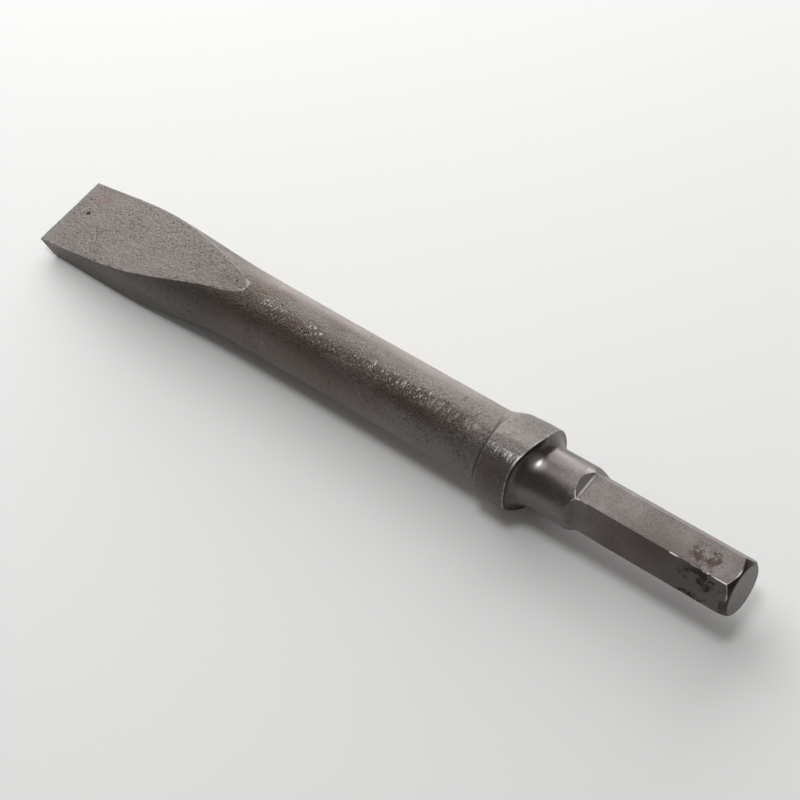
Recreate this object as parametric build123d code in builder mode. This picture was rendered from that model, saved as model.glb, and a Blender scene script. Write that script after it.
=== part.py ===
from build123d import *

import os
from math import cos, radians, tan

# Flat chisel for a breaker hammer, forged and turned from one steel bar.
# The tool's axis lies along X, from the cutting edge (-X) to the striking face (+X).
# The origin is under the middle of the tool, on the plane that the collar rests on.
# Stations are distances along the axis from the cutting edge, and heights are from the axis.

# Whole tool
LENGTH = 400.0
COLLAR_RADIUS = 20.95

# Round bar, slightly thinner next to the collar
BAR_RADIUS = 18.1
BAR_RADIUS_AT_COLLAR = 17.7
SEAM_FLAT = 0.1

# Blade, flattened and widened from the bar
BLADE_HALF_WIDTH = 21.5
FULL_WIDTH_END = 50.0
SQUARE_CORNERS_END = 45.0
BLADE_ROOT = 135.0
FLARE_SECTIONS = 8
UNDERSIDE_DEPTH = 16.0
UNDERSIDE_CORNER_RADIUS = 1.5

# Cutting edge, long face above it and short bevel under it
EDGE_HEIGHT = -6.6
EDGE_LAND = 0.4
BEVEL_LENGTH = 7.3
FACE_ANGLE = 12.3
FACE_STRAIGHT_END = 80.0
FACE_END = 134.0
FACE_END_HEIGHT = 18.4

# Collar
SHANK_LENGTH = 105.0
COLLAR_WIDTH = 16.0
COLLAR_RAMP_LENGTH = 7.0
COLLAR_RAMP_START_RADIUS = 16.5
COLLAR_BACK_ROUNDING = 6.0
COLLAR_RIM_ROUNDING = 0.5

# Neck, hexagonal shank and striking face
NECK_RADIUS = 14.9
HEX_ACROSS_FLATS = 25.0
HEX_LENGTH = 76.0
FLATS_RAMP_ANGLE = 34.0
END_CHAMFER = 2.8

# Blocks that cut the faces reach this far past the metal
CUT_MARGIN = 5.0

COLLAR_FRONT = LENGTH - SHANK_LENGTH
COLLAR_BACK = COLLAR_FRONT - COLLAR_WIDTH
COLLAR_RAMP_START = COLLAR_BACK - COLLAR_RAMP_LENGTH
BAR_END = (COLLAR_BACK + COLLAR_FRONT) / 2
FRONT_HOLLOW = COLLAR_RADIUS - NECK_RADIUS
NECK_START = COLLAR_FRONT + FRONT_HOLLOW
HEX_START = LENGTH - HEX_LENGTH
FLAT_HEIGHT = HEX_ACROSS_FLATS / 2
STRIKING_RADIUS = FLAT_HEIGHT / cos(radians(30)) - END_CHAMFER
FACE_STRAIGHT_HEIGHT = EDGE_HEIGHT + FACE_STRAIGHT_END * tan(radians(FACE_ANGLE))
BLANK_TOP = BAR_RADIUS + CUT_MARGIN

TOOL_AXIS = Axis((0, 0, COLLAR_RADIUS), (1, 0, 0))
# Its x is the station and its y is the height above the axis
SIDE_PLANE = Plane(origin=(-LENGTH / 2, 0, COLLAR_RADIUS), x_dir=(1, 0, 0), z_dir=(0, -1, 0))


def cross_plane(station):
    """Plane square to the axis: its x runs across the blade and its y is the height."""
    origin = (station - LENGTH / 2, 0, COLLAR_RADIUS)
    return Plane(origin=origin, x_dir=(0, 1, 0), z_dir=(1, 0, 0))


def ease(station, start, end):
    """Smooth step from 0 at start to 1 at end."""
    share = min(max((station - start) / (end - start), 0), 1)
    return share * share * (3 - 2 * share)


def bar_section(station, half_width, depth, top_radius, lower_radius):
    """Section of the blank, round above, with lower corners of their own radius."""
    with BuildSketch(cross_plane(station)) as section:
        with Locations((0, (top_radius - depth) / 2)):
            Rectangle(2 * half_width, top_radius + depth)
        fillet(section.vertices().group_by(Axis.Y)[-1], top_radius)
        fillet(section.vertices().group_by(Axis.Y)[0], lower_radius)
    return section.sketch


def round_section(station, radius):
    """Round section, kept to the same eight edges as the blade's by very small flats."""
    half_width = radius + SEAM_FLAT / 2
    return bar_section(station, half_width, half_width, radius, radius)


def blade_section(station):
    """Section between the full-width blade and the round bar."""
    widening = 1 - ease(station, FULL_WIDTH_END, BLADE_ROOT)
    squareness = 1 - ease(station, SQUARE_CORNERS_END, BLADE_ROOT)
    bar_half = BAR_RADIUS + SEAM_FLAT / 2
    half_width = bar_half + (BLADE_HALF_WIDTH - bar_half) * widening
    depth = bar_half + (UNDERSIDE_DEPTH - bar_half) * widening
    lower_radius = BAR_RADIUS + (UNDERSIDE_CORNER_RADIUS - BAR_RADIUS) * squareness
    return bar_section(station, half_width, depth, BAR_RADIUS, lower_radius)


with BuildPart() as chisel:
    # Full-width blade, the flare from blade to bar, and the round bar
    flare_step = (BLADE_ROOT - SQUARE_CORNERS_END) / FLARE_SECTIONS
    flare_stations = [SQUARE_CORNERS_END + flare_step * i for i in range(FLARE_SECTIONS + 1)]
    loft(sections=[blade_section(0), blade_section(SQUARE_CORNERS_END)], ruled=True)
    loft(sections=[blade_section(station) for station in flare_stations])
    bar_ends = [blade_section(BLADE_ROOT), round_section(BAR_END, BAR_RADIUS_AT_COLLAR)]
    loft(sections=bar_ends, ruled=True)

    # Long top face, straight from the cutting edge and rolling over onto the bar
    with BuildSketch(SIDE_PLANE):
        with BuildLine():
            slope = Line((0, EDGE_HEIGHT), (FACE_STRAIGHT_END, FACE_STRAIGHT_HEIGHT))
            roll = TangentArc(slope @ 1, (FACE_END, FACE_END_HEIGHT), tangent=slope % 1)
            Polyline(
                roll @ 1,
                (FACE_END, BLANK_TOP),
                (-CUT_MARGIN, BLANK_TOP),
                (-CUT_MARGIN, EDGE_HEIGHT),
                slope @ 0,
            )
        make_face()
    extrude(amount=BLADE_HALF_WIDTH + CUT_MARGIN, both=True, mode=Mode.SUBTRACT)

    # Short steep bevel from the underside up to the cutting edge
    with BuildSketch(SIDE_PLANE):
        Polygon(
            (0, EDGE_HEIGHT - EDGE_LAND),
            (0, -UNDERSIDE_DEPTH - CUT_MARGIN),
            (BEVEL_LENGTH, -UNDERSIDE_DEPTH - CUT_MARGIN),
            (BEVEL_LENGTH, -UNDERSIDE_DEPTH),
            align=None,
        )
    extrude(amount=BLADE_HALF_WIDTH + CUT_MARGIN, both=True, mode=Mode.SUBTRACT)

    # Collar with a hollow front, round neck and shank, chamfered at the striking face
    with BuildSketch(SIDE_PLANE):
        with BuildLine():
            collar = FilletPolyline(
                (COLLAR_RAMP_START, COLLAR_RAMP_START_RADIUS),
                (COLLAR_BACK, COLLAR_RADIUS),
                (COLLAR_FRONT, COLLAR_RADIUS),
                radius=COLLAR_BACK_ROUNDING,
            )
            hollow = CenterArc((NECK_START, COLLAR_RADIUS), FRONT_HOLLOW, 180, 90)
            Polyline(
                hollow @ 1,
                (LENGTH - (NECK_RADIUS - STRIKING_RADIUS), NECK_RADIUS),
                (LENGTH, STRIKING_RADIUS),
                (LENGTH, 0),
                (COLLAR_RAMP_START, 0),
                collar @ 0,
            )
        make_face()
    revolve(axis=TOOL_AXIS)
    widest_circles = chisel.edges().filter_by(GeomType.CIRCLE).group_by(SortBy.RADIUS)[-1]
    fillet(widest_circles.sort_by(Axis.X)[-1], COLLAR_RIM_ROUNDING)

    # Six flats, each with a ramp where it runs out on the neck; two lie parallel to the blade
    ramp_run = (NECK_RADIUS + CUT_MARGIN - FLAT_HEIGHT) / tan(radians(FLATS_RAMP_ANGLE))
    for turn in range(6):
        with BuildSketch(SIDE_PLANE.rotated((60 * turn, 0, 0))):
            Polygon(
                (HEX_START, FLAT_HEIGHT),
                (LENGTH + CUT_MARGIN, FLAT_HEIGHT),
                (LENGTH + CUT_MARGIN, NECK_RADIUS + CUT_MARGIN),
                (HEX_START - ramp_run, NECK_RADIUS + CUT_MARGIN),
                align=None,
            )
        extrude(amount=NECK_RADIUS, both=True, mode=Mode.SUBTRACT)

chisel.part.label = "flat_chisel"
os.makedirs("parts", exist_ok=True)
export_step(chisel.part, "parts/flat_chisel.step")
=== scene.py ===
"""Flat chisel with a collared hexagonal shank, forged in one piece.

The CAD solid flat_chisel is replaced by one detailed mesh that stays inside its box, built as
rings of points round the tool axis. The axis runs along +X; s is the distance from the cutting
edge along it, y is to the side and z is height above the axis. All sizes are in metres.
"""

import math

import bpy
import numpy as np
from mathutils import Matrix, Vector


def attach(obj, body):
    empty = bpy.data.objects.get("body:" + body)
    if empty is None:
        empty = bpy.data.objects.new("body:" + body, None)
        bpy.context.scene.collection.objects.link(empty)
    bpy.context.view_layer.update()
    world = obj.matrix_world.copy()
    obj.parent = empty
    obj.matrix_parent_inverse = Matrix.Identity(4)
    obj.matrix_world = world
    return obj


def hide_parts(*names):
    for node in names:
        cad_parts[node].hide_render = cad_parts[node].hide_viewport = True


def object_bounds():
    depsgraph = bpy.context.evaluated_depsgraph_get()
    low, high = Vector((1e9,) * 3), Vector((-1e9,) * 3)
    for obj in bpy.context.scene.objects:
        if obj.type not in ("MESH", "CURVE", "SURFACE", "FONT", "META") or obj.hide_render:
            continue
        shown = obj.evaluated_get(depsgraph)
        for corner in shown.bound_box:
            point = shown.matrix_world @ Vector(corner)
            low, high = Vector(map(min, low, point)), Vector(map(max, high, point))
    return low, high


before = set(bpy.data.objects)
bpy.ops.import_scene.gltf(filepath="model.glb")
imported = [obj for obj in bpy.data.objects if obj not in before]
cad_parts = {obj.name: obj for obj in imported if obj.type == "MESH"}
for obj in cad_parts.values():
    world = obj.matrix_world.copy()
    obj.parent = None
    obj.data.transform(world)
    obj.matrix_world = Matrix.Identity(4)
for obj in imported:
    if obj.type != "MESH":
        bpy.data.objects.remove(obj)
cad_low, cad_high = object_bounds()

# Sizes along the axis, from the cutting edge. A pair is where a gradual change starts and ends.
LENGTH = 0.400
BEVEL_LENGTH = 0.0073
SQUARE_CORNERS_END = 0.045
FULL_WIDTH_END = 0.050
FACE_STRAIGHT_END = 0.080
FACE_DIP_IN = (0.106, 0.118)
FACE_DIP_OUT = (0.121, 0.130)
FACE_TIP = 0.1312
FACE_END = 0.134
BLADE_ROOT = 0.135
ROLL_MARKS_START = 0.228
ROLL_MARKS_IN = (ROLL_MARKS_START, 0.242)
ROLL_MARKS_OUT = (0.268, 0.272)
COLLAR_BACK = 0.2685
COLLAR_RISE_START = 0.2725
COLLAR_MIDDLE = 0.2800
FORGING_END = (0.288, 0.2905)
COLLAR_FRONT = 0.2955
NECK_START = 0.3032
FIRST_NECK_RING = 0.3040
FLATS_RAMP_START = 0.3192
HEX_START = 0.324
FLATS_RAMP_END = 0.3262
END_CHAMFER_START = 0.3962

# Sizes across the axis.
AXIS_HEIGHT = 0.02095
BLADE_HALF_WIDTH = 0.0215
BLADE_DEPTH = 0.016
BAR_RADIUS = 0.0181
BAR_THIN_RADIUS = 0.01765
BAR_THINNING_LENGTH = 0.035
LOWER_CORNER = 0.0015
BLADE_ROUNDING = 0.00030
BLADE_ROUNDING_SHARE = 0.12
EDGE_HEIGHT = -0.0066
EDGE_LAND = 0.0004
FACE_SLOPE = 0.218
FACE_END_HEIGHT = 0.0184
FACE_END_DIP = 0.00022
COLLAR_RADIUS = 0.02090
COLLAR_RIM_ROUNDING = 0.00022
COLLAR_CROWN_RISE = 0.0003
COLLAR_CROWN_LENGTH = 0.006
# Height and direction in degrees of the rim's waves, with one to four turns round it.
COLLAR_RIM_WAVES = ((0.0025, 27), (0.00065, 169), (0.00055, 163), (0.00045, -58))
COLLAR_FACET_ANGLE = 106
COLLAR_FACET_HALF_ANGLE = 10.5
COLLAR_FACET_ROUNDING = 0.00004
NECK_RADIUS = 0.0149
HEX_INNER_RADIUS = 0.0125
FLATS_RAMP_SLOPE = math.tan(math.radians(34))
RAMP_ROUNDING = 0.00026
HEX_EDGE_ROUNDING = 0.00007
STRIKING_RADIUS = 0.0116
# How far in the last two rings are, to round the struck end's edge.
END_ROUNDING = (0.00008, 0.00028)
STRUCK_CENTRE_DEPTH = 0.00006

# The collar's rise from the bar: where it starts and how long it is, how much earlier it starts
# and longer it is on some sides, and those sides' directions in degrees from +y.
STEP_START = 0.2766
STEP_LENGTH = 0.0020
GENTLE_SIDE = 40
GENTLE_SHIFT = 0.0056
GENTLE_LENGTH = 0.0100
NEAR_SHIFT_SIDE = 205
NEAR_SHIFT = 0.0026
NEAR_LENGTH_SIDE = 215
NEAR_LENGTH = 0.0014

# Mesh density.
AROUND = 180
HALF_AROUND = AROUND // 2
TURNING_SHARE = 0.22
OUTLINE_POINTS = 1600
FACE_RINGS = 9


def ease(s, start, end):
    """0 before start, 1 after end and smooth between."""
    t = np.clip((s - start) / (end - start), 0.0, 1.0)
    return t * t * (3 - 2 * t)


def soft_min(values, width):
    """The least of several arrays, with its creases rounded over about width."""
    least = np.min(values, axis=0)
    return least - width * np.log(sum(np.exp((least - v) / width) for v in values))


# ---------------------------------------------------------------- shape of each cross-section


def face_height(s):
    """Height of the blade's long upper face at s."""
    straight = EDGE_HEIGHT + FACE_SLOPE * s
    if s <= FACE_STRAIGHT_END:
        return straight
    run = FACE_END - FACE_STRAIGHT_END
    miss = FACE_END_HEIGHT - (EDGE_HEIGHT + FACE_SLOPE * FACE_END)
    dip = FACE_END_DIP * ease(s, *FACE_DIP_IN) * (1 - ease(s, *FACE_DIP_OUT))
    return straight + miss * ((s - FACE_STRAIGHT_END) / run) ** 2 - dip


def bevel_height(s):
    """Height of the short lower bevel at s."""
    start = EDGE_HEIGHT - EDGE_LAND
    return start + (-BLADE_DEPTH - start) * s / BEVEL_LENGTH


def bar_radius(s):
    """The bar is a little thinner towards the collar."""
    extra = BAR_RADIUS - BAR_THIN_RADIUS
    return BAR_THIN_RADIUS + extra * math.exp(-max(0.0, s - BLADE_ROOT) / BAR_THINNING_LENGTH)


def blade_outline(s):
    """Right half of the section at s as (y, z), from the top centre to the bottom centre."""
    radius = bar_radius(s)
    spread = ease(s, FULL_WIDTH_END, BLADE_ROOT)
    half_width = BLADE_HALF_WIDTH + (radius - BLADE_HALF_WIDTH) * spread
    depth = BLADE_DEPTH + (radius - BLADE_DEPTH) * spread
    lower = LOWER_CORNER + (radius - LOWER_CORNER) * ease(s, SQUARE_CORNERS_END, BLADE_ROOT)
    turn = np.linspace(0, math.pi / 2, 500)
    upper_arc = np.c_[half_width - radius + radius * np.sin(turn), radius * np.cos(turn)]
    lower_arc = np.c_[half_width - lower + lower * np.cos(turn), lower - depth - lower * np.sin(turn)]
    points = np.vstack([[[0.0, radius]], upper_arc, lower_arc, [[0.0, -depth]]])
    top = face_height(s) if s < FACE_END else radius
    points[:, 1] = np.minimum(points[:, 1], top)
    if s < BEVEL_LENGTH:
        points[:, 1] = np.maximum(points[:, 1], bevel_height(s))
    return points


def spaced(points, count):
    """The polyline resampled at equal distances."""
    run = np.r_[0.0, np.cumsum(np.hypot(*np.diff(points, axis=0).T))]
    at = np.linspace(0.0, run[-1], count)
    return np.c_[np.interp(at, run, points[:, 0]), np.interp(at, run, points[:, 1])]


def rounded(points, width):
    """The half outline with its corners rounded, mirrored about y = 0 at both ends."""
    step = np.hypot(*(points[1] - points[0]))
    reach = int(math.ceil(3 * width / step))
    if reach < 1:
        return points
    kernel = np.exp(-0.5 * (np.arange(-reach, reach + 1) * step / width) ** 2)
    kernel /= kernel.sum()
    mirror = np.array([-1.0, 1.0])
    padded = np.vstack([points[reach:0:-1] * mirror, points, points[-2:-reach - 2:-1] * mirror])
    return np.c_[[np.convolve(padded[:, i], kernel, "valid") for i in (0, 1)]].T


def ring_points(half):
    """AROUND points on the section whose right half is given, closer together where it turns."""
    edges = np.diff(half, axis=0)
    lengths = np.hypot(*edges.T)
    headings = np.unwrap(np.arctan2(edges[:, 1], edges[:, 0]))
    turning = np.r_[0.0, np.abs(np.diff(headings))]
    share = (1 - TURNING_SHARE) * lengths / lengths.sum() + TURNING_SHARE * turning / turning.sum()
    run = np.r_[0.0, np.cumsum(share)]
    at = np.linspace(0.0, run[-1], HALF_AROUND + 1)
    right = np.c_[np.interp(at, run, half[:, 0]), np.interp(at, run, half[:, 1])]
    right[0, 0] = right[-1, 0] = 0.0
    left = right[-2:0:-1] * [-1.0, 1.0]
    return np.vstack([right, left])


def blade_ring(s):
    """Ring of the blade or bar, with its edges rounded less where it is thin."""
    half = spaced(blade_outline(s), OUTLINE_POINTS)
    height = np.ptp(half[:, 1])
    half = rounded(half, min(BLADE_ROUNDING, BLADE_ROUNDING_SHARE * height))
    ring = ring_points(spaced(half, OUTLINE_POINTS))
    return np.c_[np.full(AROUND, s), ring]


# Angle of each point of a round ring, from +y towards +z, starting at the top centre.
RING_ANGLE = math.pi / 2 - np.linspace(0, 2 * math.pi, AROUND, endpoint=False)
RING_ANGLE = np.where(RING_ANGLE < -math.pi / 2, RING_ANGLE + 2 * math.pi, RING_ANGLE)


def towards(degrees):
    """1 for ring points on that side of the axis, falling to 0 a quarter turn away."""
    return np.maximum(0.0, np.cos(RING_ANGLE - math.radians(degrees)))


def polar_ring(s, radius):
    """Ring of points at s, either of which may change round the ring."""
    spread = np.ones(AROUND)
    return np.c_[s * spread, radius * np.cos(RING_ANGLE), radius * np.sin(RING_ANGLE)]


def collar_rim():
    """Where the collar's front rim is. The forging's front face is skewed and uneven."""
    rim = COLLAR_FRONT
    for turns, (height, phase) in enumerate(COLLAR_RIM_WAVES, 1):
        rim = rim + height * np.cos(turns * RING_ANGLE - math.radians(phase))
    return rim


def collar_radius(s):
    """The collar swells gently from the bar on its upper far side and steps up elsewhere."""
    gentle = towards(GENTLE_SIDE) ** 6
    start = STEP_START - GENTLE_SHIFT * gentle - NEAR_SHIFT * towards(NEAR_SHIFT_SIDE) ** 2
    length = STEP_LENGTH + GENTLE_LENGTH * gentle + NEAR_LENGTH * towards(NEAR_LENGTH_SIDE)
    flat = ease(s, start + length, start + length + COLLAR_CROWN_LENGTH)
    crown = COLLAR_RADIUS - COLLAR_CROWN_RISE * (1 - flat)
    bar = bar_radius(COLLAR_BACK)
    radius = bar + (crown - bar) * ease(s, start, start + length)
    half = math.radians(COLLAR_FACET_HALF_ANGLE)
    off = np.clip(RING_ANGLE - math.radians(COLLAR_FACET_ANGLE), -1.0, 1.0)
    facet = COLLAR_RADIUS * math.cos(half) / np.cos(off)
    return soft_min([radius, facet], COLLAR_FACET_ROUNDING)


def collar_rings():
    """The collar's outside, from the bar to the front rim."""
    rim = collar_rim() - COLLAR_RIM_ROUNDING
    rings = []
    rise = steps(COLLAR_RISE_START, COLLAR_MIDDLE, 0.00034)
    for s in steps(COLLAR_BACK, COLLAR_RISE_START, 0.0008) + rise:
        rings.append(polar_ring(s, collar_radius(s)))
    for t in np.linspace(0, 1, 17):
        s = COLLAR_MIDDLE + t * (rim - COLLAR_MIDDLE)
        rings.append(polar_ring(s, collar_radius(s)))
    for angle in np.radians([30, 60, 90]):
        s = rim + COLLAR_RIM_ROUNDING * math.sin(angle)
        radius = collar_radius(rim) - COLLAR_RIM_ROUNDING * (1 - math.cos(angle))
        rings.append(polar_ring(s, radius))
    return rings


def hollow_rings():
    """The concave turned hollow from the collar's front face down to the neck."""
    rim_radius = collar_radius(collar_rim()) - COLLAR_RIM_ROUNDING
    reach = NECK_START - collar_rim()
    rings = []
    for angle in np.radians(np.linspace(0, 90, 17)[1:]):
        s = NECK_START - reach * math.cos(angle)
        rings.append(polar_ring(s, rim_radius - (rim_radius - NECK_RADIUS) * math.sin(angle)))
    return rings


def shank_ring(s):
    """Neck, run-out of the six flats, hexagon and end chamfer."""
    dense = np.linspace(math.pi / 2, -math.pi / 2, OUTLINE_POINTS)
    above = (HEX_START - s) * FLATS_RAMP_SLOPE
    inner = HEX_INNER_RADIUS + RAMP_ROUNDING * np.logaddexp(0.0, above / RAMP_ROUNDING)
    limits = [np.full(OUTLINE_POINTS, NECK_RADIUS)]
    for middle in (-90, -30, 30, 90):
        facing = np.cos(dense - math.radians(middle))
        limits.append(np.where(facing > 0.5, inner / np.maximum(facing, 0.5), 1.0))
    limits.append(np.full(OUTLINE_POINTS, STRIKING_RADIUS + (LENGTH - s)))
    radius = soft_min(limits, HEX_EDGE_ROUNDING)
    half = spaced(np.c_[radius * np.cos(dense), radius * np.sin(dense)], OUTLINE_POINTS)
    return np.c_[np.full(AROUND, s), ring_points(half)]


def steps(start, end, spacing):
    """Ring positions from start up to, but not including, end."""
    count = max(1, round((end - start) / spacing))
    return list(np.linspace(start, end, count, endpoint=False))


def all_rings():
    """Every ring from the cutting edge to the struck end, before wear, and the first turned one."""
    blade = [0.0, 0.0001] + steps(0.0003, 0.009, 0.0004) + steps(0.009, 0.126, 0.00084)
    blade += steps(0.126, 0.132, 0.00030) + steps(0.132, ROLL_MARKS_START, 0.0012)
    blade += steps(ROLL_MARKS_START, COLLAR_BACK, 0.00042)
    shank = steps(FIRST_NECK_RING, FLATS_RAMP_START, 0.0009)
    shank += steps(FLATS_RAMP_START, FLATS_RAMP_END, 0.00022)
    shank += steps(FLATS_RAMP_END, END_CHAMFER_START, 0.0020)
    shank += steps(END_CHAMFER_START, 0.3996, 0.0002) + [0.3997, 0.3999, LENGTH]
    rings = [blade_ring(s) for s in blade] + collar_rings()
    first_turned = len(rings)
    rings += hollow_rings() + [shank_ring(s) for s in shank]
    for ring, inset in zip(rings[-2:], END_ROUNDING):
        ring[:, 1:] *= 1 - inset / STRIKING_RADIUS
    return np.array(rings), first_turned


# ---------------------------------------------------------------- wear and forging marks

# Layers of hammered unevenness: depth, cell size and seed.
HAMMERED = ((0.00010, 0.022, 11), (0.00009, 0.0055, 12), (0.00005, 0.0021, 13))

# Scattered pits: number, first and last s, radii, depths and seed.
SMALL_PITS = (150, 0.006, 0.27, (0.0006, 0.0013), (0.00004, 0.00010), 21)
WIDE_PITS = (26, 0.01, 0.27, (0.0018, 0.0036), (0.00008, 0.0002), 22)
SHANK_PITS = (40, 0.33, 0.399, (0.0006, 0.0012), (0.00003, 0.00008), 32)

SHANK_DENTS = 0.00003
STRUCK_DENTS = 0.00010
EDGE_NICKS = 0.00022
EDGE_WEAR = 0.00035
EDGE_WEAR_LENGTH = 0.004

ROLL_MARK_SPACING = 0.0023
ROLL_MARK_DEPTH = 0.00019
ROLL_MARKS_SIDE = -0.0046
ROLL_MARKS_WIDTH = 0.0028

# Single dents: centre (s, y, z), half size along s, y and z, and depth.
NICKS = (
    ((0.0126, 0.0025, -0.0038), (0.0009, 0.0014, 0.004), 0.00035),
    ((0.0425, -0.0210, 0.0027), (0.0014, 0.0010, 0.001), 0.00030),
    ((0.0540, -0.0208, 0.0052), (0.0010, 0.0008, 0.001), 0.00025),
    ((0.0880, -0.0155, 0.0126), (0.0016, 0.0010, 0.001), 0.00020),
)


def lattice_noise(points, cell, seed):
    """Smooth noise from -1 to 1 that changes over about cell metres."""
    table = np.random.default_rng(seed).uniform(-1, 1, (32, 32, 32))
    scaled = points / cell
    base = np.floor(scaled).astype(int)
    part = scaled - base
    part = part * part * (3 - 2 * part)
    total = 0.0
    for corner in np.ndindex(2, 2, 2):
        index = (base + corner) % 32
        weight = np.prod(np.where(corner, part, 1 - part), axis=-1)
        total = total + weight * table[index[..., 0], index[..., 1], index[..., 2]]
    return total


def unevenness(points, cell, seed):
    """The same noise, from 0 to 1."""
    return 0.5 + 0.5 * lattice_noise(points, cell, seed)


def grid_normals(rings):
    """Outward unit normals of the grid of rings."""
    along = np.gradient(rings, axis=0)
    around = np.roll(rings, -1, axis=1) - np.roll(rings, 1, axis=1)
    normals = np.cross(along, around)
    normals /= np.linalg.norm(normals, axis=-1, keepdims=True) + 1e-12
    outward = np.sum(normals * rings * [0, 1, 1])
    return normals * np.sign(outward)


def grid_curvature(rings, normals, reach):
    """How convex the surface is over reach steps of the grid, in 1/m."""
    total = np.zeros(rings.shape[:2])
    for shift, axis in ((reach, 1), (-reach, 1), (reach, 0), (-reach, 0)):
        step = np.roll(rings, shift, axis) - rings
        change = np.roll(normals, shift, axis) - normals
        total += np.sum(step * change, -1) / (np.sum(step * step, -1) + 1e-12)
    total[:reach] = total[reach]
    total[-reach:] = total[-reach - 1]
    return total


def pit_depth(rings, count, start, end, radii, depths, seed):
    """Depth at each grid point of small round pits scattered between start and end."""
    rng = np.random.default_rng(seed)
    depth = np.zeros(rings.shape[:2])
    along = rings[:, :, 0].mean(1)
    for _ in range(count):
        ring = int(np.searchsorted(along, rng.uniform(start, end)))
        around = rng.integers(AROUND)
        radius = rng.uniform(*radii)
        deep = rng.uniform(*depths)
        stretch = rng.uniform(0.6, 1.6)
        centre = rings[ring, around]
        low = np.searchsorted(along, centre[0] - 2 * radius)
        high = np.searchsorted(along, centre[0] + 2 * radius)
        away = (rings[low:high] - centre) * [stretch, 1, 1]
        near = 1 - np.sum(away * away, -1) / radius ** 2
        depth[low:high] = np.maximum(depth[low:high], deep * np.clip(near, 0, 1) ** 1.5)
    return depth


def dent(rings, centre, half_size, deep):
    """Depth of one dent at centre, with half_size along x, y and z."""
    away = (rings - centre) / half_size
    return deep * np.clip(1 - np.sum(away * away, -1), 0, 1)


def hammered_depth(rings):
    """Low waves, dimples and grain of the forging, fading out at the cutting edge."""
    depth = sum(deep * unevenness(rings, cell, seed) for deep, cell, seed in HAMMERED)
    return depth * ease(rings[:, :, 0], 0.0, 0.012)


def roll_mark_depth(rings):
    """A patchy row of shallow marks along the top of the bar, before the collar."""
    s, y, z = np.moveaxis(rings, -1, 0)
    turns = s / ROLL_MARK_SPACING * 2 * math.pi
    marks = np.sin(turns + 2.6 * lattice_noise(rings, 0.006, 14))
    marked = ease(s, *ROLL_MARKS_IN) * (1 - ease(s, *ROLL_MARKS_OUT))
    marked = marked * np.exp(-((y - ROLL_MARKS_SIDE) / ROLL_MARKS_WIDTH) ** 2) * (z > 0)
    patchy = np.clip(0.65 + 0.7 * lattice_noise(rings, 0.004, 15), 0, 1)
    return ROLL_MARK_DEPTH * marked * (0.5 + 0.5 * marks) * patchy


def forging_depth(rings):
    """How far hammering, rolling and scale pits leave the surface below its nominal shape."""
    pits = np.maximum(pit_depth(rings, *SMALL_PITS), pit_depth(rings, *WIDE_PITS))
    for centre, half_size, deep in NICKS:
        pits = np.maximum(pits, dent(rings, centre, half_size, deep))
    forged = 1 - ease(rings[:, :, 0], *FORGING_END)
    return (hammered_depth(rings) + roll_mark_depth(rings) + pits) * forged


def shank_depth(rings):
    """Small knocks on the hexagon and its end."""
    on_hex = ease(rings[:, :, 0], 0.326, 0.332)
    dents = SHANK_DENTS * on_hex * unevenness(rings, 0.006, 31)
    return dents + pit_depth(rings, *SHANK_PITS)


def edge_wear(rings):
    """How far the cutting edge is worn and nicked back, fading out behind it."""
    nicks = EDGE_NICKS * np.clip(lattice_noise(rings[:1], 0.0016, 41) + 0.10, 0, 1)
    nicks = nicks + EDGE_WEAR * unevenness(rings[:1], 0.011, 42)
    return nicks * (1 - ease(rings[..., 0], 0.0, EDGE_WEAR_LENGTH))


def worn(rings):
    """The rings with forging marks and wear, and never outside the nominal shape."""
    depth = forging_depth(rings) + shank_depth(rings)
    moved = rings - grid_normals(rings) * depth[..., None]
    moved[..., 0] = np.clip(moved[..., 0] + edge_wear(rings), 0.0, LENGTH)
    moved[..., 1] = np.clip(moved[..., 1], -BLADE_HALF_WIDTH, BLADE_HALF_WIDTH)
    return moved


# ---------------------------------------------------------------- mesh


def striking_face_rings(last):
    """Rings closing the struck end, slightly dished and peened."""
    centre = np.array([LENGTH, 0.0, 0.0])
    rings = []
    for j in range(1, FACE_RINGS):
        ring = centre + (last - centre) * (1 - j / FACE_RINGS)
        dents = STRUCK_DENTS * unevenness(ring, 0.0035, 51)
        ring[:, 0] = LENGTH - 0.00002 - dents * ease(np.float64(j), 0.0, 2.0)
        rings.append(ring)
    return np.array(rings)


def grid_faces(ring_count):
    """Quads between neighbouring rings."""
    faces = []
    for i in range(ring_count - 1):
        for k in range(AROUND):
            after = (k + 1) % AROUND
            a, b = i * AROUND + k, i * AROUND + after
            faces.append((a, a + AROUND, b + AROUND, b))
    return faces


def edge_faces():
    """The narrow flat at the cutting edge, bridging upper points to lower ones."""
    faces = []
    quarter = HALF_AROUND // 2
    for k in range(-quarter, quarter):
        upper, upper_next = k % AROUND, (k + 1) % AROUND
        lower, lower_next = (HALF_AROUND - k) % AROUND, (HALF_AROUND - k - 1) % AROUND
        corners = [upper, upper_next, lower_next, lower]
        unique = list(dict.fromkeys(corners))
        if len(unique) > 2:
            faces.append(tuple(unique))
    return faces


def cap_faces(ring_count):
    """Triangles from the last ring to the point in the middle of the struck end."""
    last = (ring_count - 1) * AROUND
    centre = ring_count * AROUND
    return [(last + (k + 1) % AROUND, last + k, centre) for k in range(AROUND)]


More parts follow.
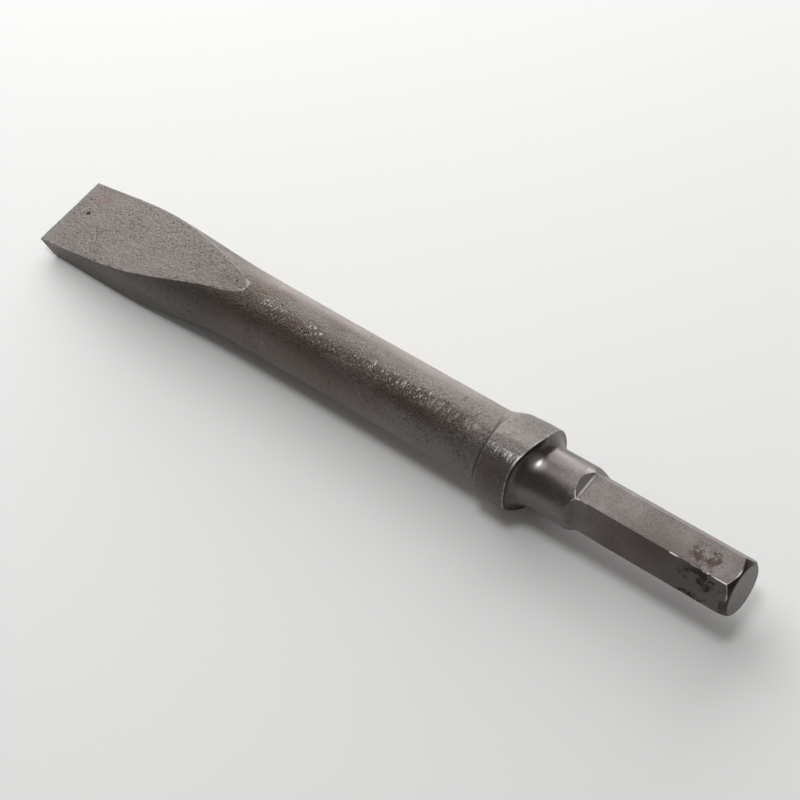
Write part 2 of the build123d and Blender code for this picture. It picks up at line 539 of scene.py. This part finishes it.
def build_mesh():
    """The whole surface as one closed mesh, with its two materials and its masks."""
    rings, first_turned = all_rings()
    shaped = worn(rings)
    grid = np.concatenate([shaped, striking_face_rings(shaped[-1])])
    faces = edge_faces() + grid_faces(len(grid)) + cap_faces(len(grid))
    points = np.vstack([grid.reshape(-1, 3), [[LENGTH - STRUCK_CENTRE_DEPTH, 0.0, 0.0]]])
    points = points + [cad_low.x, 0.0, AXIS_HEIGHT]
    mesh = bpy.data.meshes.new("chisel_forging")
    mesh.from_pydata(points.tolist(), [], faces)
    mesh.shade_smooth()
    mesh.materials.append(forged_steel())
    mesh.materials.append(machined_steel())
    turned = np.array([min(face) >= (first_turned - 1) * AROUND for face in faces])
    mesh.polygons.foreach_set("material_index", turned.astype(np.int32))
    paint_masks(mesh, rings, shaped, grid)
    return mesh


# ---------------------------------------------------------------- masks for the materials

# Curvatures in 1/m over which an edge counts as sharp, for its wear, glints and painted shade, and a
# hollow is made darker.
SHARP_CURVATURE = (350.0, 1500.0)
CREASE_CURVATURE = (60.0, 700.0)


def blade_face_masks(rings):
    """1 on the blade's upper face, and 1 along the tip where the face runs out on the bar."""
    s, y, z = np.moveaxis(rings, -1, 0)
    below = np.vectorize(face_height)(np.minimum(s, FACE_END)) - z
    on_face = ease(below, 0.00016, 0.00006) * (s < FACE_TIP)
    tip = ease(below, 0.00040, 0.00020) * ease(below, 0.00002, 0.00008)
    tip = tip * ease(s, 0.112, 0.121) * ease(s, FACE_TIP + 0.0004, FACE_TIP - 0.0010)
    return on_face, tip * ease(y, 0.0045, 0.0025)


def collar_rim_mask(rings):
    """1 along the collar's front rim."""
    s = rings[:, :, 0]
    rim = collar_rim()
    return ease(s, rim - 0.0009, rim - 0.0003) * ease(s, rim + 0.0004, rim + 0.0002)


def chamfer_mask(s, reach):
    """1 on the struck end's chamfer, from the distances along and from the axis."""
    cone = STRIKING_RADIUS + LENGTH - s
    return ease(cone - reach, 0.0003, 0.0001) * (s > HEX_START) * (reach > 0.01145)


def paint(mesh, name, values):
    """Stores a value for each point; points past the end of values get 0."""
    padded = np.zeros(len(mesh.vertices), dtype=np.float32)
    padded[:values.size] = values.ravel()
    mesh.attributes.new(name, "FLOAT", "POINT").data.foreach_set("value", padded)


def paint_masks(mesh, rings, shaped, grid):
    """Masks for the materials: sharp edges, darker hollows, and the regions of the surface."""
    normals = grid_normals(shaped)
    on_face, tip = blade_face_masks(rings)
    s = np.r_[grid[:, :, 0].ravel(), LENGTH]
    reach = np.r_[np.hypot(grid[:, :, 1], grid[:, :, 2]).ravel(), 0.0]
    paint(mesh, "chamfer", chamfer_mask(s, reach))
    paint(mesh, "worn_edge", ease(grid_curvature(shaped, normals, 1), *SHARP_CURVATURE))
    paint(mesh, "crevice", ease(-grid_curvature(shaped, normals, 2), *CREASE_CURVATURE))
    paint(mesh, "blade_face", on_face)
    paint(mesh, "face_tip", tip)
    paint(mesh, "collar_rim", collar_rim_mask(rings))
    paint(mesh, "distance", s)


# ---------------------------------------------------------------- node trees


class Nodes:
    """Short calls for building a material's node tree."""

    def __init__(self, name):
        self.material = bpy.data.materials.new(name)
        self.material.use_nodes = True
        self.tree = self.material.node_tree
        self.tree.nodes.clear()

    def node(self, kind, output, inputs=None, **properties):
        """One output of a new node, whose inputs are linked to sockets or set to values."""
        made = self.tree.nodes.new(kind)
        for name, value in properties.items():
            setattr(made, name, value)
        for name, value in (inputs or {}).items():
            if isinstance(value, bpy.types.NodeSocket):
                self.tree.links.new(value, made.inputs[name])
            else:
                made.inputs[name].default_value = value
        return made.outputs[output]

    def finished(self, inputs):
        """The material, with these inputs on its shader."""
        surface = self.node("ShaderNodeBsdfPrincipled", 0, inputs)
        output = self.tree.nodes.new("ShaderNodeOutputMaterial")
        self.tree.links.new(surface, output.inputs["Surface"])
        return self.material

    def math(self, operation, first, second):
        """One math operation on two sockets or numbers."""
        return self.node("ShaderNodeMath", 0, {0: first, 1: second}, operation=operation)

    def times(self, first, *others):
        """The product of two or more values."""
        for other in others:
            first = self.math("MULTIPLY", first, other)
        return first

    def most(self, first, second):
        """The larger of two values."""
        return self.math("MAXIMUM", first, second)

    def less(self, first, second):
        """The first value minus the second."""
        return self.math("SUBTRACT", first, second)

    def span(self, value, low, high, to_low=0.0, to_high=1.0):
        """Smooth step from to_low, where value is low, to to_high, where it is high."""
        limits = {"From Min": low, "From Max": high, "To Min": to_low, "To Max": to_high}
        inputs = {"Value": value, **limits}
        return self.node("ShaderNodeMapRange", "Result", inputs, interpolation_type="SMOOTHSTEP")

    def mix(self, factor, first, second):
        """Blend of two colours or values."""
        return self.node("ShaderNodeMix", 2, {0: factor, 6: first, 7: second}, data_type="RGBA")

    def over(self, tone, colour, mask, share=1.0):
        """The tone with share of the colour laid over it where the mask is 1."""
        return self.mix(self.times(mask, share), tone, colour)

    def bump(self, height, distance, normal=None):
        """Normal of a surface raised by height times distance, on top of another bump's."""
        inputs = {"Height": height, "Distance": distance}
        if normal is not None:
            inputs["Normal"] = normal
        return self.node("ShaderNodeBump", "Normal", inputs)


class Steel(Nodes):
    """Node tree of a steel, with noises over the tool and masks for places on it."""

    def __init__(self, name):
        super().__init__(name)
        self.where = self.node("ShaderNodeTexCoord", "Object")
        self.side = self.node("ShaderNodeSeparateXYZ", "Y", {0: self.where})
        self.height = self.node("ShaderNodeSeparateXYZ", "Z", {0: self.where})
        self.distance = self.attribute("distance")

    def attribute(self, name):
        """One of the masks painted on the mesh."""
        return self.node("ShaderNodeAttribute", "Fac", attribute_name=name)

    def facing_up(self):
        """How much the surface faces up, from -1 to 1."""
        normal = self.node("ShaderNodeTexCoord", "Normal")
        return self.node("ShaderNodeSeparateXYZ", "Z", {0: normal})

    def noise(self, scale, detail=3.0, roughness=0.55):
        """Noise over the tool. A scale of three numbers stretches it along the axes."""
        vector = self.where
        if isinstance(scale, tuple):
            vector = self.node("ShaderNodeMapping", "Vector", {"Vector": vector, "Scale": scale})
            scale = 1.0
        inputs = {"Vector": vector, "Scale": scale, "Detail": detail, "Roughness": roughness}
        return self.node("ShaderNodeTexNoise", "Fac", inputs)

    def cells(self, scale, warp_scale, warp_reach):
        """Distance to the nearest of scattered points, moved about to make it irregular."""
        warp = {"Vector": self.where, "Scale": warp_scale, "Detail": 2.0, "Roughness": 0.5}
        random = self.node("ShaderNodeTexNoise", "Color", warp)
        push = {0: random, 1: (warp_reach, warp_reach, warp_reach), 2: self.where}
        moved = self.node("ShaderNodeVectorMath", "Vector", push, operation="MULTIPLY_ADD")
        return self.node("ShaderNodeTexVoronoi", "Distance", {"Vector": moved, "Scale": scale})

    def spot(self, centre, radius, core=0.55):
        """1 within core of the radius round centre (s, y, z), falling to 0 at the radius."""
        s, y, z = centre
        inputs = {0: self.where, 1: (s + cad_low.x, y, z + AXIS_HEIGHT)}
        away = self.node("ShaderNodeVectorMath", "Value", inputs, operation="DISTANCE")
        return self.span(away, radius, radius * core)

    def between(self, start, end, fade):
        """1 between two distances from the cutting edge, with soft ends."""
        after = self.span(self.distance, start, start + fade)
        return self.times(after, self.span(self.distance, end, end - fade))

    def upper_band(self, middle, half_width):
        """1 on the upper side where y is near middle, fading out at half_width from it."""
        off = self.math("ABSOLUTE", self.less(self.side, middle), 0.0)
        upper = self.span(self.height, AXIS_HEIGHT, AXIS_HEIGHT + 0.003)
        return self.times(self.span(off, half_width, 0.35 * half_width), upper)

    def out_at_side(self, inner, outer):
        """0 where y is inside inner, 1 past outer, fading out under the bar."""
        shown = self.span(self.height, AXIS_HEIGHT - 0.014, AXIS_HEIGHT - 0.001)
        return self.times(self.span(self.side, inner, outer), shown)


def rgb(red, green, blue):
    """Colour with its alpha."""
    return (red, green, blue, 1.0)


# ---------------------------------------------------------------- forged steel

DARK_SCALE = rgb(0.122, 0.106, 0.097)
PALE_SCALE = rgb(0.160, 0.142, 0.132)
BROWN_PATCH = rgb(0.170, 0.141, 0.115)
LIGHT_GRAIN = rgb(0.250, 0.227, 0.214)
DARK_GRAIN = rgb(0.056, 0.046, 0.041)
COARSE_GRAIN = rgb(0.064, 0.052, 0.046)
# Painted shade on the blade's front flank.
SHADED_FLANK_TONE = rgb(0.082, 0.075, 0.072)
# Brown heat tint, also painted shade on the bar's front shoulder.
HEAT_BROWN_AND_SHADE = rgb(0.069, 0.048, 0.035)
# Painted light on the upper side of the collar.
LIT_COLLAR_TONE = rgb(0.242, 0.220, 0.208)
# Painted light low on the bar's flanks, strongest on the far side.
LIT_SIDE_TONE = rgb(0.360, 0.318, 0.300)
# Painted shade on the collar's front and underside.
SHADED_COLLAR_TONE = rgb(0.092, 0.073, 0.066)
FACE_SCALE = rgb(0.190, 0.165, 0.153)
PIT_DARK = rgb(0.034, 0.027, 0.023)
GROUND_STEEL = rgb(0.178, 0.163, 0.153)
# Darker in concave creases.
CREVICE_DARK = rgb(0.050, 0.040, 0.034)
NICK_DARK = rgb(0.010, 0.008, 0.007)
RUST = rgb(0.165, 0.080, 0.070)
# Worn edges, and a painted glint on the collar's front rim.
RUBBED_EDGE_AND_GLINT = rgb(0.44, 0.415, 0.395)
# Painted glints on the bar's ridge, roll marks and collar.
GLINT_FLECK = rgb(0.60, 0.57, 0.55)
# Bright metal on worn edges, and painted glints.
BARE_METAL_AND_GLINT = rgb(0.86, 0.83, 0.81)

# Centres of single spots, as (s, y, z).
DEEP_NICK = (0.0126, 0.0025, -0.00405)
RUST_SPOT = (0.0134, 0.0132, -0.00375)
FEWER_PITS = (0.0210, -0.0014, -0.00245)
# Centre of the heat tint and painted shade.
HEAT_AND_SHADE_CENTRE = (0.158, -0.016, 0.01105)
# Painted glint on the collar's front rim.
RIM_GLINT_SPOT = (0.2952, -0.0085, 0.01905)


def forged_steel():
    """Blade, bar and collar: dark forging scale, pitted, rubbed lighter on the edges, with painted
    light, shade and glints.
    """
    n = Steel("forged_steel_scale")
    grain = n.noise(1150.0, 5.0, 0.75)
    coarse = n.noise(520.0, 3.0, 0.6)
    patch = n.noise((24.0, 70.0, 70.0))
    face = n.attribute("blade_face")
    pits = scale_pits(n, face)
    # Painted glints; the same mask raises the bump and lowers the roughness.
    glint_flecks = painted_glint_flecks(n)
    # Painted light on the upper collar; the same mask makes it a little smoother.
    top = lit_upper_collar(n)
    # Painted glint on the collar's front rim, white with less metal.
    bare_and_glint = n.times(n.attribute("collar_rim"), n.spot(RIM_GLINT_SPOT, 0.0050, 0.4))

    tone = scale_grain(n, grain, coarse, patch)
    tone = scale_regions(n, tone, patch, face, top)
    tone = scale_marks(n, tone, coarse, face, pits)
    tone = n.over(tone, RUBBED_EDGE_AND_GLINT, rubbed_edges_and_glint(n, coarse))
    tone = n.over(tone, GLINT_FLECK, glint_flecks, 0.85)
    tone = n.over(tone, BARE_METAL_AND_GLINT, bare_and_glint)

    roughness = n.less(n.span(grain, 0.3, 0.75, 0.36, 0.47), n.times(top, 0.06))
    roughness = n.less(roughness, n.times(glint_flecks, 0.10))
    roughness = n.math("ADD", roughness, n.times(pits, 0.2))
    normal = n.bump(coarse, 0.00040, n.bump(grain, 0.00042))
    normal = n.bump(n.less(glint_flecks, pits), 0.00014, normal)
    metallic = n.less(0.85, n.times(bare_and_glint, 0.6))
    inputs = {"Metallic": metallic, "Base Color": tone, "Roughness": roughness, "Normal": normal}
    return n.finished(inputs)


def scale_grain(n, grain, coarse, patch):
    """Dark scale in lighter and darker grains, with brown patches."""
    blotch = n.noise(60.0, 4.0)
    fine = n.noise(2100.0, 2.0, 0.6)
    tone = n.mix(n.span(blotch, 0.3, 0.7), DARK_SCALE, PALE_SCALE)
    tone = n.over(tone, BROWN_PATCH, n.span(patch, 0.52, 0.75), 0.5)
    tone = n.over(tone, LIGHT_GRAIN, n.span(grain, 0.44, 0.64))
    tone = n.over(tone, DARK_GRAIN, n.span(fine, 0.50, 0.38), 0.62)
    return n.over(tone, COARSE_GRAIN, n.span(coarse, 0.47, 0.32), 0.60)


def scale_regions(n, tone, patch, face, top):
    """The blade face's tone, the heat tint, and painted light and shade on the flanks, the bar's
    front shoulder and the collar.
    """
    # Painted shade on the blade's front flank.
    tone = n.over(tone, SHADED_FLANK_TONE, shaded_blade_flank(n, face), 0.45)
    # Heat tint and painted shade on the bar.
    tone = n.over(tone, HEAT_BROWN_AND_SHADE, heat_tint_and_shade(n, patch), 0.82)
    # Painted light on the upper collar.
    tone = n.over(tone, LIT_COLLAR_TONE, top, 0.78)
    # Painted light on the bar's flanks.
    tone = n.over(tone, LIT_SIDE_TONE, lit_side_tones(n))
    # Painted shade on the collar's front and underside.
    tone = n.over(tone, SHADED_COLLAR_TONE, shaded_lower_collar(n), 0.5)
    return n.over(tone, FACE_SCALE, face, 0.38)


def scale_marks(n, tone, coarse, face, pits):
    """Pits, the ground strip at the cutting edge, darker crevices, the deep nick and rust."""
    ground = n.times(n.span(n.distance, 0.0042, 0.0022), face)
    rust = n.times(n.spot(RUST_SPOT, 0.0046), n.span(coarse, 0.46, 0.54))
    tone = n.over(tone, PIT_DARK, pits, 0.85)
    tone = n.over(tone, GROUND_STEEL, ground, 0.6)
    tone = n.over(tone, CREVICE_DARK, n.attribute("crevice"), 0.65)
    tone = n.over(tone, NICK_DARK, n.spot(DEEP_NICK, 0.0014, 0.7))
    return n.over(tone, RUST, rust, 0.65)


def scale_pits(n, face):
    """Fine pits crowded into bands along the forging, most of them on the blade, and a few larger."""
    bands = n.noise((26.0, 110.0, 110.0), 3.0, 0.6)
    crowd = n.span(n.math("ADD", bands, n.times(face, 0.08)), 0.46, 0.64)
    quiet = n.span(n.spot(FEWER_PITS, 0.0085, 0.3), 0.0, 1.0, 1.0, 0.25)
    by_place = n.times(crowd, quiet, n.span(face, 0.2, 0.8, 0.35, 0.85))
    small = n.times(by_place, n.span(n.noise((1000.0, 1350.0, 1350.0), 1.5, 0.5), 0.43, 0.35))
    large = n.span(n.cells(360.0, 600.0, 0.0012), 0.22, 0.10)
    large = n.times(large, n.span(n.noise(75.0, 2.0), 0.52, 0.60))
    return n.most(small, n.times(large, n.span(n.distance, 0.276, 0.270)))


def painted_glint_flecks(n):
    """Painted glints: light specks on the ridge of the bar, and light ticks on the roll marks and
    collar.
    """
    bar = n.times(n.upper_band(-0.0036, 0.0052), n.between(0.128, 0.262, 0.02))
    ridge_glints = n.span(n.noise((1700.0, 640.0, 640.0), 2.0, 0.6), 0.580, 0.635)
    clusters = n.span(n.noise(70.0, 3.0), 0.44, 0.60, 0.20, 1.0)
    ridge = n.times(n.upper_band(-0.0090, 0.0026), n.between(0.2790, 0.2955, 0.001), 0.85)
    rolled = n.times(n.upper_band(ROLL_MARKS_SIDE, 0.0034), n.between(0.238, 0.272, 0.004), 0.30)
    ticks = n.span(n.noise((950.0, 190.0, 190.0), 2.0), 0.50, 0.58)
    return n.most(n.times(ridge_glints, clusters, bar), n.times(ticks, n.most(ridge, rolled)))


def lit_upper_collar(n):
    """Painted light on the upper side of the collar, ending at the ridge towards the front."""
    front = n.span(n.side, -0.0098, -0.0086)
    far = n.span(n.side, 0.008, -0.003, 0.10, 1.0)
    return n.times(front, far, n.between(0.2760, 0.305, 0.002))


def shaded_lower_collar(n):
    """Painted shade on the front and underside of the collar, below its ridge."""
    return n.times(n.span(n.side, -0.0086, -0.0100), n.between(0.276, 0.305, 0.002))


def shaded_blade_flank(n, face):
    """Painted shade on the front flank of the blade and of the bar just behind it."""
    flank = n.times(n.span(n.side, -0.008, -0.0125), n.span(face, 0.6, 0.2))
    return n.times(flank, n.span(n.distance, 0.165, 0.125))


def lit_side_tones(n):
    """Painted light: lighter, patchy tone low on both flanks of the bar, strongest on the far one."""
    patchy = n.span(n.noise((20.0, 60.0, 60.0)), 0.30, 0.55, 0.65, 1.0)
    far = n.times(n.out_at_side(0.0060, 0.0125), 0.64)
    front = n.times(n.out_at_side(-0.0104, -0.0150), 0.21)
    return n.times(n.most(far, front), n.between(0.100, 0.290, 0.04), patchy)


def heat_tint_and_shade(n, patch):
    """Brown heat colour with painted shade, patchy, just behind the blade face and along the bar's
    front shoulder.
    """
    root = n.times(n.spot(HEAT_AND_SHADE_CENTRE, 0.085, 0.3), 0.85)
    bar = n.times(n.upper_band(-0.0062, 0.0085), n.between(0.13, 0.275, 0.02))
    return n.times(n.most(root, bar), n.span(patch, 0.30, 0.55, 0.35, 1.0))


def rubbed_edges_and_glint(n, coarse):
    """Where the scale is worn off sharp edges, least on the blade and at the back of the collar, with
    a painted glint on the collar's front rim.
    """
    on_blade = n.span(n.distance, 0.135, 0.05, 0.22, 0.50)
    share = n.math("ADD", on_blade, n.span(n.distance, 0.284, 0.290, 0.0, 0.55))
    patchy = n.times(n.span(coarse, 0.42, 0.58, 0.25, 1.0), share)
    edges = n.times(n.attribute("worn_edge"), patchy)
    bare_and_glint = n.span(n.noise(420.0, 2.0), 0.52, 0.60, 0.10, 0.45)
    bare_and_glint = n.most(n.spot(RIM_GLINT_SPOT, 0.0052, 0.4), bare_and_glint)
    rim = n.times(n.attribute("collar_rim"), bare_and_glint)
    return n.most(edges, n.most(rim, n.times(n.attribute("face_tip"), 0.42)))


# ---------------------------------------------------------------- machined steel

DARK_FILM = rgb(0.112, 0.097, 0.093)
PALE_FILM = rgb(0.138, 0.122, 0.117)
DARK_HEX = rgb(0.130, 0.112, 0.106)
PALE_HEX = rgb(0.178, 0.157, 0.149)
BRIGHT_GRAIN = rgb(0.26, 0.24, 0.23)
DEEP_GRAIN = rgb(0.075, 0.063, 0.059)
BROWN_FILM = rgb(0.072, 0.053, 0.046)
# Painted light on the front of the neck and hexagon.
LIT_FRONT_TONE = rgb(0.205, 0.184, 0.176)
# Painted shade in the hollow next to the collar.
HOLLOW_SHADE = rgb(0.060, 0.052, 0.049)
BROWN_STAIN = rgb(0.068, 0.049, 0.044)
GREY_FILM = rgb(0.118, 0.110, 0.106)
BLACK_STAIN = rgb(0.022, 0.018, 0.017)
CHAMFER_DARK = rgb(0.040, 0.033, 0.030)
STRUCK_STEEL = rgb(0.100, 0.089, 0.087)
# Painted highlight in the hollow.
HOLLOW_HIGHLIGHT = rgb(0.46, 0.43, 0.415)
# Painted light on the ramps where the upper flats run out.
LIT_RAMP_TONE = rgb(0.430, 0.398, 0.380)
# Painted highlight on the line where the upper flats run out.
RUN_OUT_HIGHLIGHT = rgb(0.80, 0.76, 0.74)
# Painted shade along the hexagon's upper front edge.
EDGE_SHADE = rgb(0.030, 0.024, 0.022)

# Centres of single spots, as (s, y, z).
# Centre of the painted highlight in the hollow.
HOLLOW_HIGHLIGHT_SPOT = (0.3006, -0.0033, 0.01535)
FILM_ON_EDGE = (0.360, -0.0118, 0.00455)
FILM_BELOW = (0.365, -0.034, -0.01295)
GREY_END = (0.390, -0.0118, 0.00455)
POOL_SPOTS = ((0.3800, -0.0015, 0.01255), (0.3865, 0.0, 0.01255))
STAINED_TOP = (0.384, -0.001, 0.01255)
STAINED_FRONT = (0.387, -0.0122, 0.00355)
# Painted glints at the end corner, on the upper front edge and at the run-out.
END_CORNER_GLINT = (0.398, -0.005, 0.01155)
EDGE_GLINT_SPOT = (0.372, -0.0070, 0.01255)
RUN_OUT_GLINT = (0.3225, -0.0068, 0.01285)
SPECKLED_EDGE = (0.3915, -0.0072, 0.01255)


def machined_steel():
    """Neck, hexagon and struck end: turned and drawn steel with a dull oxide film and stains, and
    painted light, shade, highlights and glints.
    """
    n = Steel("forged_steel_machined")
    grain = n.noise(1500.0, 4.0, 0.7)
    cloud = n.noise(75.0, 5.0, 0.6)
    hexagon = n.span(n.distance, 0.3235, 0.3245)
    hollow = n.span(n.distance, 0.3180, 0.3060)
    uneven = n.less(1.0, n.times(hollow, 0.85))
    upper = n.upper_band(0.0, 0.0095)
    # Painted highlight on the run-out line; the same mask makes the metal duller.
    line = n.times(n.between(0.3230, 0.3244, 0.0005), upper)
    # Bright metal on worn edges, and painted glints.
    wear = bright_wear_and_glints(n, cloud)

    tone = shank_film(n, grain, cloud, hexagon, uneven)
    tone = shank_stains_light_and_shade(n, tone)
    tone = shank_end(n, tone)
    tone = run_out(n, tone, upper, line)
    tone = n.over(tone, BARE_METAL_AND_GLINT, wear)

    turned = n.noise((4200.0, 20.0, 20.0), 2.0)
    drawn = n.noise((60.0, 2400.0, 2400.0), 2.0)
    finish = n.less(n.mix(hexagon, turned, drawn), 0.5)
    normal = n.bump(n.times(finish, uneven), 0.000015)
    normal = n.bump(n.times(n.less(grain, 0.5), uneven), 0.00014, normal)
    roughness = n.less(n.span(grain, 0.3, 0.7, 0.29, 0.40), n.times(hollow, 0.02))
    dull = n.most(wear, n.times(line, 0.5))
    metallic = n.less(0.9, n.times(dull, 0.6))
    inputs = {"Metallic": metallic, "Base Color": tone, "Roughness": roughness, "Normal": normal}
    return n.finished(inputs)


def shank_film(n, grain, cloud, hexagon, uneven):
    """Oxide film, lighter on the hexagon, with its grain and a brown film on the front."""
    tone = n.mix(n.span(cloud, 0.3, 0.7), DARK_FILM, PALE_FILM)
    tone = n.mix(hexagon, tone, n.mix(n.span(cloud, 0.36, 0.64), DARK_HEX, PALE_HEX))
    tone = n.over(tone, BRIGHT_GRAIN, n.span(grain, 0.44, 0.68, 0.0, 0.55), uneven)
    tone = n.over(tone, DEEP_GRAIN, n.span(grain, 0.46, 0.32, 0.0, 0.6), uneven)
    film = n.times(n.spot(FILM_ON_EDGE, 0.040, 0.4), n.spot(FILM_BELOW, 0.048, 0.7))
    film = n.times(film, n.span(cloud, 0.30, 0.60, 0.45, 1.0))
    return n.over(tone, BROWN_FILM, film, 0.75)


def shank_stains_light_and_shade(n, tone):
    """Painted light on the front, painted shade in the hollow by the collar, and the brown, grey and
    black stains near the end.
    """
    # Painted light on the front.
    tone = n.over(tone, LIT_FRONT_TONE, n.out_at_side(-0.0080, -0.0130), 0.24)
    # Painted shade in the hollow by the collar.
    tone = n.over(tone, HOLLOW_SHADE, n.span(n.distance, 0.2990, 0.2960), 0.4)
    tone = n.over(tone, BROWN_STAIN, stain_pool(n))
    off_top = n.span(n.facing_up(), 0.75, 0.65)
    tone = n.over(tone, GREY_FILM, n.times(n.spot(GREY_END, 0.026, 0.6), off_top), 0.6)
    return n.over(tone, BLACK_STAIN, stain_lines(n))


def shank_end(n, tone):
    """Darker chamfer and struck face, and a painted highlight in the hollow."""
    tone = n.over(tone, CHAMFER_DARK, n.attribute("chamfer"), 0.92)
    tone = n.over(tone, STRUCK_STEEL, n.span(n.distance, 0.39984, 0.39987), 0.66)
    # Painted highlight in the hollow.
    return n.over(tone, HOLLOW_HIGHLIGHT, n.spot(HOLLOW_HIGHLIGHT_SPOT, 0.0056, 0.10), 0.80)


def run_out(n, tone, upper, line):
    """Painted light on the ramp where the upper flats run out, a painted highlight on the line where
    they end, and painted shade along the upper front edge.
    """
    off_flat = n.span(n.facing_up(), 0.95, 0.85)
    ramp = n.times(n.between(0.3188, 0.3236, 0.0008), n.times(upper, off_flat))
    # Painted light on the ramp.
    tone = n.over(tone, LIT_RAMP_TONE, ramp, 0.9)
    # Painted highlight on the run-out line.
    tone = n.over(tone, RUN_OUT_HIGHLIGHT, line, 0.9)
    # Painted shade: a dark line along the hexagon's upper front edge.
    along_edge = n.times(n.upper_band(-0.0074, 0.0024), n.between(0.3245, 0.394, 0.003))
    return n.over(tone, EDGE_SHADE, n.times(along_edge, n.attribute("worn_edge")), 0.75)


def bright_wear_and_glints(n, cloud):
    """Bare metal on edges and painted glints, most of them at the flats' run-out and round the struck
    end.
    """
    places = n.most(n.spot(END_CORNER_GLINT, 0.009), n.spot(EDGE_GLINT_SPOT, 0.0024))
    places = n.most(places, n.spot(RUN_OUT_GLINT, 0.0034))
    speckles = n.span(n.noise(700.0, 2.0), 0.50, 0.58)
    places = n.most(places, n.times(n.spot(SPECKLED_EDGE, 0.0075, 0.6), speckles))
    patches = n.most(places, n.span(cloud, 0.55, 0.66, 0.04, 0.5))
    off_rim = n.span(n.distance, 0.3996, 0.3992)
    return n.times(n.attribute("worn_edge"), off_rim, patches)


def stain_lines(n):
    """Dark dried-on stains wandering over the front flat near the struck end, fainter on top."""
    blobs = n.span(n.noise((150.0, 210.0, 210.0), 4.0, 0.65), 0.475, 0.555)
    off_line = n.math("ABSOLUTE", n.less(n.noise(170.0, 4.0, 0.62), 0.49), 0.0)
    lines = n.span(off_line, 0.030, 0.010)
    top = n.times(lines, n.spot(STAINED_TOP, 0.010, 0.5), 0.45)
    return n.most(top, n.times(blobs, n.spot(STAINED_FRONT, 0.0145, 0.60), 0.85))


def stain_pool(n):
    """A brown, ragged stain on the top flat near the struck end."""
    ragged = n.span(n.noise(260.0, 4.0, 0.7), 0.44, 0.54)
    first, second = POOL_SPOTS
    place = n.most(n.spot(first, 0.0048, 0.5), n.spot(second, 0.0052, 0.5))
    return n.times(ragged, place, 0.95)


# ---------------------------------------------------------------- stage

FLOOR_HALF = 12.0
FLOOR_WHITE = rgb(0.94, 0.94, 0.935)
UNDER_COLLAR = Vector((0.0950, 0.0, 0.0))
WORLD_WHITE = rgb(1.0, 0.98, 0.96)
WORLD_STRENGTH = 0.17

# Each light's name, position, width, height and power in watts.
LIGHTS = (
    ("key", (-0.95, 1.10, 0.72), 2.3, 1.7, 32.5),
    ("overhead", (-0.75, 0.14, 1.40), 0.9, 0.8, 3.4),
    ("low_strip", (-0.70, 1.30, 0.24), 2.0, 0.45, 6.0),
    ("lamp", (0.09, 0.0, 1.50), 0.32, 0.32, 4.6),
)

CAMERA_PLACE = Vector((0.41641, -0.31109, 0.69731))
CAMERA_AIM = Vector((0.02177, -0.00276, 0.02095))
CAMERA_LENS = 84.8
CAMERA_ROLL = -15.87


def build_floor():
    """A pale floor that touches the collar and the blade's underside, as the chisel lies."""
    corners = [(-1, -1), (1, -1), (1, 1), (-1, 1)]
    mesh = bpy.data.meshes.new("floor")
    mesh.from_pydata([(FLOOR_HALF * x, FLOOR_HALF * y, 0) for x, y in corners], [], [(0, 1, 2, 3)])
    pale = {"Base Color": FLOOR_WHITE, "Roughness": 0.9, "Specular IOR Level": 0.1}
    mesh.materials.append(Nodes("pale_floor").finished(pale))
    floor = bpy.data.objects.new("floor", mesh)
    bpy.context.collection.objects.link(floor)
    rise = AXIS_HEIGHT - BLADE_DEPTH
    tilt = math.atan2(rise, UNDER_COLLAR.x - (cad_low.x + BEVEL_LENGTH))
    floor.matrix_world = Matrix.Translation(UNDER_COLLAR) @ Matrix.Rotation(tilt, 4, "Y")


def area_light(name, position, width, height, power):
    """A rectangular light that points at the origin."""
    data = bpy.data.lights.new(name, "AREA")
    data.shape = "RECTANGLE"
    data.size = width
    data.size_y = height
    data.energy = power
    lamp = bpy.data.objects.new(name, data)
    lamp.location = position
    aim = Vector((0.0, 0.0, 0.0)) - Vector(position)
    lamp.rotation_euler = aim.to_track_quat("-Z", "Y").to_euler()
    bpy.context.collection.objects.link(lamp)


def build_lights():
    """A dim, even world and four soft lights."""
    world = bpy.data.worlds.new("studio")
    world.use_nodes = True
    background = world.node_tree.nodes["Background"]
    background.inputs["Color"].default_value = WORLD_WHITE
    background.inputs["Strength"].default_value = WORLD_STRENGTH
    bpy.context.scene.world = world
    for light in LIGHTS:
        area_light(*light)


def build_camera():
    """Long lens from the shank's side, above and in front."""
    data = bpy.data.cameras.new("camera")
    data.sensor_width = 36.0
    data.lens = CAMERA_LENS
    camera = bpy.data.objects.new("camera", data)
    turn = (CAMERA_AIM - CAMERA_PLACE).to_track_quat("-Z", "Y").to_matrix().to_4x4()
    roll = Matrix.Rotation(math.radians(CAMERA_ROLL), 4, "Z")
    camera.matrix_world = Matrix.Translation(CAMERA_PLACE) @ turn @ roll
    bpy.context.collection.objects.link(camera)
    bpy.context.scene.camera = camera


def build_chisel():
    """The one piece, which stands for the whole CAD solid."""
    chisel = bpy.data.objects.new("chisel_forging", build_mesh())
    bpy.context.collection.objects.link(chisel)
    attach(chisel, "root")
    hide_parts("flat_chisel")


bpy.context.scene.view_settings.view_transform = "Standard"
build_chisel()
build_floor()
build_lights()
build_camera()
